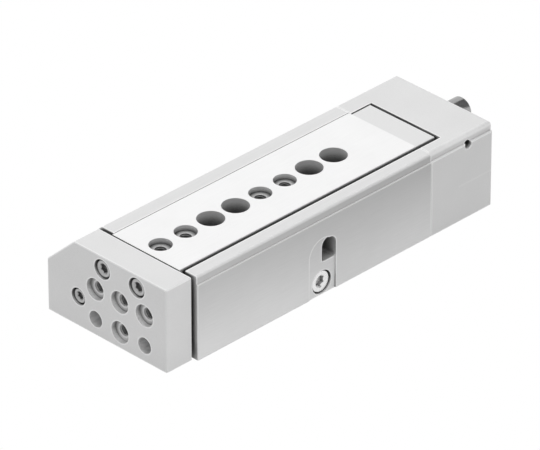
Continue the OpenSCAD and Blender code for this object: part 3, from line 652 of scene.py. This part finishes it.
# %% [markdown]
# ## Where the screws are
#
# A group of equal screws is one CAD node, so the node's box doesn't tell where each one is. The
# node's triangles do: corners that share a triangle belong to one solid. Every corner starts with
# its own number, each triangle passes its lowest number to its three corners, and after a few
# rounds all the corners of a solid hold the same one.

# %% Boxes of the separate solids in a node
def solid_numbers(triangles, count):
    """For each of the corners, the lowest number of a corner in the same solid."""
    label = np.arange(count)
    settled = False
    while not settled:
        before = label.copy()
        lowest = label[triangles].min(axis=1)
        np.minimum.at(label, triangles.ravel(), np.repeat(lowest, 3))
        label = label[label]
        settled = bool((label == before).all())
    return label


def solid_boxes(node):
    """The lowest and highest corner of each solid of a CAD node, in metres, from left to right.
    Corners in the same micrometre are taken as one."""
    mesh = frame["nodes"][node].data
    places = np.empty(len(mesh.vertices) * 3)
    mesh.vertices.foreach_get("co", places)
    places = places.reshape(-1, 3)
    mesh.calc_loop_triangles()
    triangles = np.empty(len(mesh.loop_triangles) * 3, dtype=int)
    mesh.loop_triangles.foreach_get("vertices", triangles)
    whole = np.round(places / MICROMETRE).astype(int)
    _, same = np.unique(whole, axis=0, return_inverse=True)
    same = same.reshape(-1)
    owner = solid_numbers(same[triangles].reshape(-1, 3), same.max() + 1)[same]
    boxes = [(places[owner == one].min(axis=0), places[owner == one].max(axis=0))
             for one in np.unique(owner)]
    return sorted(boxes, key=lambda box: tuple(box[0]))


for group in ("yoke_screws", "end_cap_screws", "end_piece_screws"):
    print(group, len(solid_boxes(group)))

# %% [markdown]
# ## Socket screws
#
# A socket screw is a knurled round head with a hexagon socket and a threaded shank. The head's top
# edge is rounded, the socket has a small countersink, and a drill has left a shallow cone at its
# bottom. The profile starts at that cone, climbs the socket, crosses the head, goes down its side
# and along the thread, and ends in the middle of the tip. The socket, the round edge and the
# threaded end have functions of their own, because other turned pieces have them too.

# %% Profiles of a socket, a round edge and a threaded end
ARC_STATIONS = 4
SOCKET_MOUTH = 0.3
SOCKET_CONE = 0.25
SOCKET_FLOOR = 0.97
TIP_BEVEL_SHARE = 0.15


def arc_stations(height, radius, size, first, last):
    """A quarter round edge: from angle first to last, in degrees, on a circle of that size. The
    height and the radius are those of the circle's middle."""
    angles = np.radians(np.linspace(first, last, ARC_STATIONS))
    return [station(height + size * math.sin(angle), radius + size * math.cos(angle))
            for angle in angles]


def socket_stations(top, key, depth, mouth=SOCKET_MOUTH):
    """The inside of a hexagon socket, from the middle of its floor up to its bevelled mouth."""
    flat = key / 2
    corner = flat / math.cos(SIXTH / 2)
    floor = top - depth
    return [
        station(floor - SOCKET_CONE * flat, 0),
        station(floor, SOCKET_FLOOR * flat),
        station(floor, flat, hexagon=1.0),
        station(top - mouth - (corner - flat), flat, hexagon=1.0),
        station(top - mouth, corner),
        station(top, corner + mouth),
    ]


def shank_stations(size, start, length, pitch):
    """A threaded shank, from where its thread starts down to the middle of its bevelled tip."""
    wall = size / 2
    depth = THREAD_DEPTH_SHARE * pitch
    thread = thread_stations(-length + pitch, start, wall - depth / 2, depth, pitch)
    return [
        *reversed(thread),
        station(-length + pitch / 2, wall - depth),
        station(-length, wall - depth - TIP_BEVEL_SHARE * size),
        station(-length, 0),
    ]


print("stations of a socket:", len(socket_stations(0, 2.5, 1.5)))

# %% [markdown]
# ## The heads of the screws
#
# The knurl lets fingers turn a screw. It is pressed into the head's side and stops short of both
# edges, which stay plain. It could be a bump in the finish, but a bump leaves the head's outline
# smooth, so the knurl moves the surface itself.

# %% Profile of a socket screw
HEAD_ROUND = 0.35
HEAD_BEVEL = 0.12
KNURL_DEPTH = 0.05
KNURL_FOOT = 0.25
KNURL_MARGIN = 0.1
SOCKET_SHARE = 0.55
# The size of the thread, the head's width and height, and the key, in millimetres.
M2_5 = (2.5, 4.7, 2.5, 2.0)
M3 = (3.0, 5.5, 3.0, 2.5)
M4_LOW = (4.0, 7.0, 2.8, 3.0)


def screw_stations(size, head_width, head_height, key, length, pitch):
    """A socket screw whose head stands on height zero and whose thread points down."""
    head = head_width / 2
    shank = size / 2
    depth = THREAD_DEPTH_SHARE * pitch
    knurl_top = head_height - HEAD_ROUND - KNURL_MARGIN
    return [
        *socket_stations(head_height, key, SOCKET_SHARE * head_height),
        *arc_stations(head_height - HEAD_ROUND, head - HEAD_ROUND, HEAD_ROUND, 90, 0),
        station(knurl_top, head - KNURL_DEPTH, knurl=KNURL_DEPTH),
        station(KNURL_FOOT, head - KNURL_DEPTH, knurl=KNURL_DEPTH),
        station(HEAD_BEVEL, head),
        station(0, head - HEAD_BEVEL),
        station(0, shank),
        station(-pitch / 4, shank - depth / 2),
        *shank_stations(size, -pitch / 2, length, pitch),
    ]


def make_screws(node, facing, kind, body):
    """Detailed screws of one kind, which is a thread, a head's width and height, and a key, in
    the boxes of a node's plain ones."""
    size, _, head_height, _ = kind
    pitch = PITCHES[size]
    grids = []
    for top, tip in [box_ends(box, facing) for box in solid_boxes(node)]:
        length = np.linalg.norm(top - tip) / MM - head_height
        points = turned_points(screw_stations(*kind, length, pitch), pitch)
        grids.append(placed(points, top - outwards(facing) * head_height * MM, facing))
    add_turned(node, grids, body)


print("stations of an M3 screw 8 mm long:", len(screw_stations(*M3, 8, PITCHES[3.0])))

# %% Make the socket screws
make_screws("yoke_screws", "front", M3, "table_body")
make_screws("rod_screw", "front", M2_5, "table_body")
make_screws("clamp_screw", "right", M4_LOW, "housing_body")
make_screws("end_cap_screws", "rear", M2_5, "housing_body")
make_screws("end_piece_screws", "rear", M3, "table_body")

# %% [markdown]
# ## Screws without a head
#
# The plug of the air gallery and the set screw of the rear stop are headless: a threaded pin with
# a socket in its end. They need no new kind of surface, because a socket followed by a threaded
# end is all that they are.

# %% Make the headless screws
SMALL_MOUTH = 0.12


def headless_stations(size, key, key_depth, length, pitch):
    """A headless screw whose socket opens at height zero and whose thread points down."""
    shank = size / 2
    depth = THREAD_DEPTH_SHARE * pitch
    return [
        *socket_stations(0, key, key_depth, SMALL_MOUTH),
        station(0, shank - depth),
        station(-pitch / 2, shank - depth / 2),
        *shank_stations(size, -pitch, length, pitch),
    ]


def make_headless(node, facing, size, key, key_depth, body):
    """A detailed headless screw in the box of a node's plain one."""
    top, _, length = node_ends(node, facing)
    pitch = PITCHES[size]
    points = turned_points(headless_stations(size, key, key_depth, length / MM, pitch), pitch)
    add_turned(node, [placed(points, top, facing)], body)


make_headless("gallery_plug", "front", size=3.0, key=1.5, key_depth=2.2, body="housing_body")
make_headless("rear_stop_set_screw", "right", size=2.5, key=1.3, key_depth=1.8,
              body="housing_body")

# %% [markdown]
# ## Stop barrels
#
# Each stop is a barrel with a fine thread, so that it can be set by a turn of a key and then
# clamped. One end has the key socket and the other holds the sprung plunger and its rubber buffer.
# The rear barrel has a plain end where it stands out of the end cap. The barrel is one profile
# from the socket to the bore, so that it is hollow where its plunger moves.

# %% Profile of a stop barrel
STOP_RADIUS = 4.0
STOP_BEVEL = 0.6
STOP_KEY = 4.0
STOP_KEY_DEPTH = 4.0
BORE_BEVEL = 0.2


def stop_stations(length, bore_radius, bore_depth, plain):
    """A barrel whose key socket opens at height zero: plain is the length of its bare end."""
    pitch = PITCHES[2 * STOP_RADIUS]
    depth = THREAD_DEPTH_SHARE * pitch
    thread = thread_stations(-length + STOP_BEVEL, -plain - STOP_BEVEL,
                             STOP_RADIUS - depth / 2, depth, pitch)
    return [
        *socket_stations(0, STOP_KEY, STOP_KEY_DEPTH),
        station(0, STOP_RADIUS - STOP_BEVEL),
        station(-STOP_BEVEL, STOP_RADIUS),
        station(-plain, STOP_RADIUS),
        *reversed(thread),
        station(-length, STOP_RADIUS - STOP_BEVEL - depth / 2),
        station(-length, bore_radius + BORE_BEVEL),
        station(-length + BORE_BEVEL, bore_radius),
        station(-length + bore_depth, bore_radius),
        station(-length + bore_depth, 0),
    ]


print("stations of a barrel 20 mm long:", len(stop_stations(20, 2, 8, STOP_BEVEL)))

# %% Make the stop barrels
PLUNGER_PLAY = 0.05
BARE_INSIDE = 1


def make_stop(node, plunger, buffer, facing, plain):
    """A detailed barrel in the box of a plain one, hollowed for its plunger and buffer."""
    top, tip, length = node_ends(node, facing)
    bore_end, _, _ = node_ends(buffer, facing)
    bore_depth = abs((bore_end - tip) @ outwards(facing)) / MM
    low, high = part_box(plunger)
    bore_radius = (high.x - low.x) / 2 / MM + PLUNGER_PLAY
    stations = stop_stations(length / MM, bore_radius, bore_depth, plain)
    points = turned_points(stations, PITCHES[2 * STOP_RADIUS])
    add_turned(node, [placed(points, top, facing)], "housing_body")


bare_outside = (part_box("rear_stop_barrel")[1].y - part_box("end_cap")[1].y) / MM
make_stop("front_stop_barrel", "front_stop_plunger", "front_stop_buffer", "front", STOP_BEVEL)
make_stop("rear_stop_barrel", "rear_stop_plunger", "rear_stop_buffer", "rear",
          bare_outside + BARE_INSIDE)

# %% [markdown]
# ## Rubber buffers
#
# Inside each barrel a rubber buffer backs the plunger: a short plug with round edges, and with a
# groove round its middle that leaves the rubber room to swell. It is the one piece of the slide
# that changes its shape: it shortens towards its far end, which rests on the bottom of the bore,
# by as much as the plunger is pressed in. This script builds it at its full length.

# %% Profile of a buffer
BUFFER_ROUND = 0.4
BUFFER_GROOVE = 0.35
BUFFER_SHOULDER = 0.2
BUFFER_PLAY = 0.02
GROOVE_STATIONS = 9


def buffer_stations(length, radius):
    """A plug whose far end is at height zero. The groove's depth is one cosine wave, which is
    zero at the groove's edges and full in its middle."""
    edge = radius - BUFFER_ROUND
    span = length / 2 - BUFFER_ROUND - BUFFER_SHOULDER
    groove = [station(-length / 2 - share * span,
                      radius - BUFFER_GROOVE * (1 + math.cos(math.pi * share)) / 2)
              for share in np.linspace(-1, 1, GROOVE_STATIONS)]
    return [
        station(0, 0),
        *arc_stations(-BUFFER_ROUND, edge, BUFFER_ROUND, 90, 0),
        *groove,
        *arc_stations(BUFFER_ROUND - length, edge, BUFFER_ROUND, 0, -90),
        station(-length, 0),
    ]


print("stations of a buffer 6 mm long:", len(buffer_stations(6, 2)))

# %% Make the buffers
def make_buffer(node, facing):
    """A detailed buffer in the box of a plain one, with a mesh of its own."""
    top, _, length = node_ends(node, facing)
    low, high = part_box(node)
    radius = (high.x - low.x) / 2 / MM
    points = turned_points(buffer_stations(length / MM - BUFFER_PLAY, radius - BUFFER_PLAY))
    piece = add_turned(node, [placed(points, top, facing)], "housing_body")
    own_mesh(piece)


make_buffer("front_stop_buffer", "front")
make_buffer("rear_stop_buffer", "rear")

# %% [markdown]
# ## Tapped holes
#
# The CAD holes have the thread's full diameter. A lining fills the difference with a real thread:
# a thin sleeve whose inner face is the helix and whose mouth is countersunk. Its outer face lies
# just inside the metal, so that no two faces meet. The helix could be cut out of the metal itself,
# but the CAD nodes stay as they are here, and a lining looks the same from outside.

# %% Profile of a thread lining
LINING_SINK = 0.02
MOUTH_BEVEL = 0.15


def lining_stations(size, length, pitch):
    """A sleeve round a tapped hole whose mouth is at height zero, as a closed loop of stations."""
    wall = size / 2
    depth = THREAD_DEPTH_SHARE * pitch
    thread = thread_stations(-length + MOUTH_BEVEL, -MOUTH_BEVEL, wall - depth / 2, depth, pitch)
    return [
        station(-LINING_SINK, wall + LINING_SINK),
        station(-LINING_SINK, wall),
        *reversed(thread),
        station(-length + LINING_SINK, wall),
        station(-length + LINING_SINK, wall + LINING_SINK),
    ]


def make_threads(name, places, size, length, facing, body, slot, finish):
    """Linings of one size and length at all those places, as one piece."""
    pitch = PITCHES[size]
    points = turned_points(lining_stations(size, length, pitch), pitch)
    grids = [placed(points, place, facing) for place in places]
    add_piece(name, join_rings(grids, ring_closed=True), body, slot, finish=finish)


print("stations of a lining 6 mm deep:", len(lining_stations(4.0, 6.0, PITCHES[4.0])))

# %% [markdown]
# ## Where the holes are
#
# The record's mounts say where each hole is, in words that a designer would use: a place, an axis
# and, for a pair, the spacing between the two. Reading them keeps the linings in step with the
# CAD model when a size changes. The air ports' mounts lie in the middle of the ports, so those
# linings take their start from the end cap's rear face.

# %% Make the thread linings
THREAD_SIZE = 4.0
PORT_SIZE = 5.0
TABLE_THREAD = 6.0
YOKE_COUNTERBORE = 1.6
PORT_DEPTH = 5.5
PORT_RUNOUT = 0.4


def hole_places(names):
    """The middle of each hole of those mounts, in metres. A pair of holes stands about its mount's
    place, half the spacing to each side. Its second spacing runs up a face that looks along the
    travel, and to the rear in a face that looks up."""
    places = []
    for mount in frame["record"]["mounts"]:
        if mount["name"] not in names:
            continue
        place = np.array(mount["pos_m"])
        dims = mount["dims"]
        faces_travel = round(abs(mount["axis"][1])) == 1
        upright = (0, 0, 1) if faces_travel else (0, 1, 0)
        across = np.array((1, 0, 0)) * dims.get("spacing_x_mm", 0) * MM / 2
        along = np.array(upright) * dims.get("spacing_y_mm", 0) * MM / 2
        if dims.get("count", 1) == 1:
            places.append(place)
        else:
            places.extend([place - across - along, place + across + along])
    return places


table_holes = hole_places(("table_threads_outer", "table_threads_inner"))
yoke_holes = hole_places(("yoke_threads_side", "yoke_threads_middle"))
yoke_low, yoke_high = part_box("yoke_plate")
yoke_thread = (yoke_high.y - yoke_low.y) / MM - YOKE_COUNTERBORE
port_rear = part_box("end_cap")[1].y
ports = [(place[0], port_rear, place[2])
         for place in hole_places(("advance_air_port", "return_air_port"))]
make_threads("table_threads", table_holes, THREAD_SIZE, TABLE_THREAD, "up",
             "table_body", "ground_steel", "ground_steel")
make_threads("yoke_threads", yoke_holes, THREAD_SIZE, yoke_thread, "front",
             "table_body", "anodised_aluminium", "tapped_aluminium")
make_threads("port_threads", ports, PORT_SIZE, PORT_DEPTH - PORT_RUNOUT, "rear",
             "housing_body", "anodised_aluminium", "tapped_aluminium")

# %% [markdown]
# ## Floor and sky
#
# A pale floor and an even sky light a part like this without hard shadows. Made white enough for
# a plain background, they would flood the part with light. So both ask what kind of ray has met
# them: they show themselves white to the camera, in gloss and through glass, and keep a plainer
# level for the light that they give.

# %% Make the floor
FLOOR_SIZE = 6.0
FLOOR_GAP = 0.1 * MM
FLOOR_COLOUR = grey(0.66)


def seen_rays(tree):
    """1 for rays from the camera, from gloss and through glass, and 0 for others."""
    path = tree.nodes.new("ShaderNodeLightPath")
    seen = combined(tree, "MAXIMUM", path.outputs["Is Camera Ray"], path.outputs["Is Glossy Ray"])
    return combined(tree, "MAXIMUM", seen, path.outputs["Is Transmission Ray"])


def square(name, size, height=0.0):
    """A level square whose middle is that high over the origin."""
    half = size / 2
    corners = [(-half, -half, height), (half, -half, height),
               (half, half, height), (-half, half, height)]
    mesh = bpy.data.meshes.new(name)
    mesh.from_pydata(corners, [], [(0, 1, 2, 3)])
    card = bpy.data.objects.new(name, mesh)
    bpy.context.scene.collection.objects.link(card)
    return card


def make_floor():
    """A square pale floor under the part, a hair below its base so that the two don't coincide."""
    floor = square("floor", FLOOR_SIZE, cad_low.z - FLOOR_GAP)
    material = bpy.data.materials.new("floor")
    material.use_nodes = True
    tree = material.node_tree
    tree.nodes.clear()
    matt = tree.nodes.new("ShaderNodeBsdfDiffuse")
    matt.inputs["Color"].default_value = FLOOR_COLOUR
    white = tree.nodes.new("ShaderNodeEmission")
    mix = tree.nodes.new("ShaderNodeMixShader")
    output = tree.nodes.new("ShaderNodeOutputMaterial")
    tree.links.new(seen_rays(tree), mix.inputs["Fac"])
    tree.links.new(matt.outputs["BSDF"], mix.inputs[1])
    tree.links.new(white.outputs["Emission"], mix.inputs[2])
    tree.links.new(mix.outputs["Shader"], output.inputs["Surface"])
    floor.data.materials.append(material)


make_floor()
print("the floor lies below the base by mm:", round(FLOOR_GAP / MM, 2))

# %% Make the sky
SKY_LEVEL = 0.45


def make_sky():
    """An even sky: white to the camera and in gloss, and a plain light for everything else."""
    world = bpy.data.worlds.new("sky")
    world.use_nodes = True
    tree = world.node_tree
    background = tree.nodes["Background"]
    background.inputs["Color"].default_value = grey(1.0)
    strength = ranged(tree, seen_rays(tree), 0.0, 1.0, SKY_LEVEL, 1.0)
    tree.links.new(strength, background.inputs["Strength"])
    bpy.context.scene.world = world


make_sky()
print("the sky's light, with white at one:", SKY_LEVEL)

# %% [markdown]
# ## Lamp and flag
#
# A large lamp above makes the upper faces brighter than the sides, as a soft box does. Bare round
# metal would still reflect nothing but white and lose its shape, so a grey card at the right rear
# gives it a dark stripe to reflect, as a studio's flag does. Darker metal would show a shape too,
# but then its flat faces would be too dark.

# %% Hang the lamp and stand the flag
LAMP_PLACE = (-0.1, 0.1, 1.0)
LAMP_SIZE = 1.2
LAMP_POWER = 9.5
FLAG_PLACE = (0.27, 0.75, 0.80)
FLAG_SIZE = 1.2
FLAG_COLOUR = grey(0.34)
centre = (cad_low + cad_high) / 2


def turned_towards(direction, axis):
    """The rotation that turns one of an object's axes that way."""
    return direction.to_track_quat(axis, "Y").to_euler()


def add_flag(name, place):
    """A square grey card that faces the part: a dark stripe for round metal to reflect. It stands
    outside every picture, so the camera looks through it."""
    flag = square(name, FLAG_SIZE)
    flag.location = place
    flag.rotation_euler = turned_towards(centre - place, "Z")
    material, _, shader = principled(name, 0.0)
    shader.inputs["Base Color"].default_value = FLAG_COLOUR
    flag.data.materials.append(material)
    flag.visible_camera = False


def add_lamp(name, place):
    """A square area lamp that points at the part. Gloss doesn't show it, so that no face turns
    plain white where it would mirror the lamp."""
    data = bpy.data.lights.new(name, "AREA")
    data.size = LAMP_SIZE
    data.energy = LAMP_POWER
    lamp = bpy.data.objects.new(name, data)
    lamp.location = place
    lamp.rotation_euler = turned_towards(centre - place, "-Z")
    lamp.visible_glossy = False
    bpy.context.scene.collection.objects.link(lamp)


add_flag("flag_right_rear", centre + Vector(FLAG_PLACE))
add_lamp("soft_box_above", centre + Vector(LAMP_PLACE))
print("lamp above the part's middle in m:", LAMP_PLACE[2])

# %% [markdown]
# ## The camera
#
# The camera stands far off to the right front, above the part, with a long lens. A near camera
# would make the yoke plate look too large against the rear, while this one keeps parallel edges
# nearly parallel.

# %% Set up the camera
AZIMUTH = math.radians(44.927)
ELEVATION = math.radians(31.427)
CAMERA_DISTANCE = 1.941
AIM_OFFSET_MM = (0.796, -4.584, -2.184)
LENS = 446.95
SENSOR_WIDTH = 36
back = Vector((math.sin(AZIMUTH) * math.cos(ELEVATION),
               -math.cos(AZIMUTH) * math.cos(ELEVATION), math.sin(ELEVATION)))
camera_data = bpy.data.cameras.new("camera")
camera_data.lens = LENS
camera_data.sensor_width = SENSOR_WIDTH
camera = bpy.data.objects.new("camera", camera_data)
camera.location = centre + Vector(AIM_OFFSET_MM) * MM + back * CAMERA_DISTANCE
camera.rotation_euler = turned_towards(-back, "-Z")
bpy.context.scene.collection.objects.link(camera)
bpy.context.scene.camera = camera
bpy.context.scene.view_settings.view_transform = "Standard"
print("camera at:", [round(step, 3) for step in camera.location])
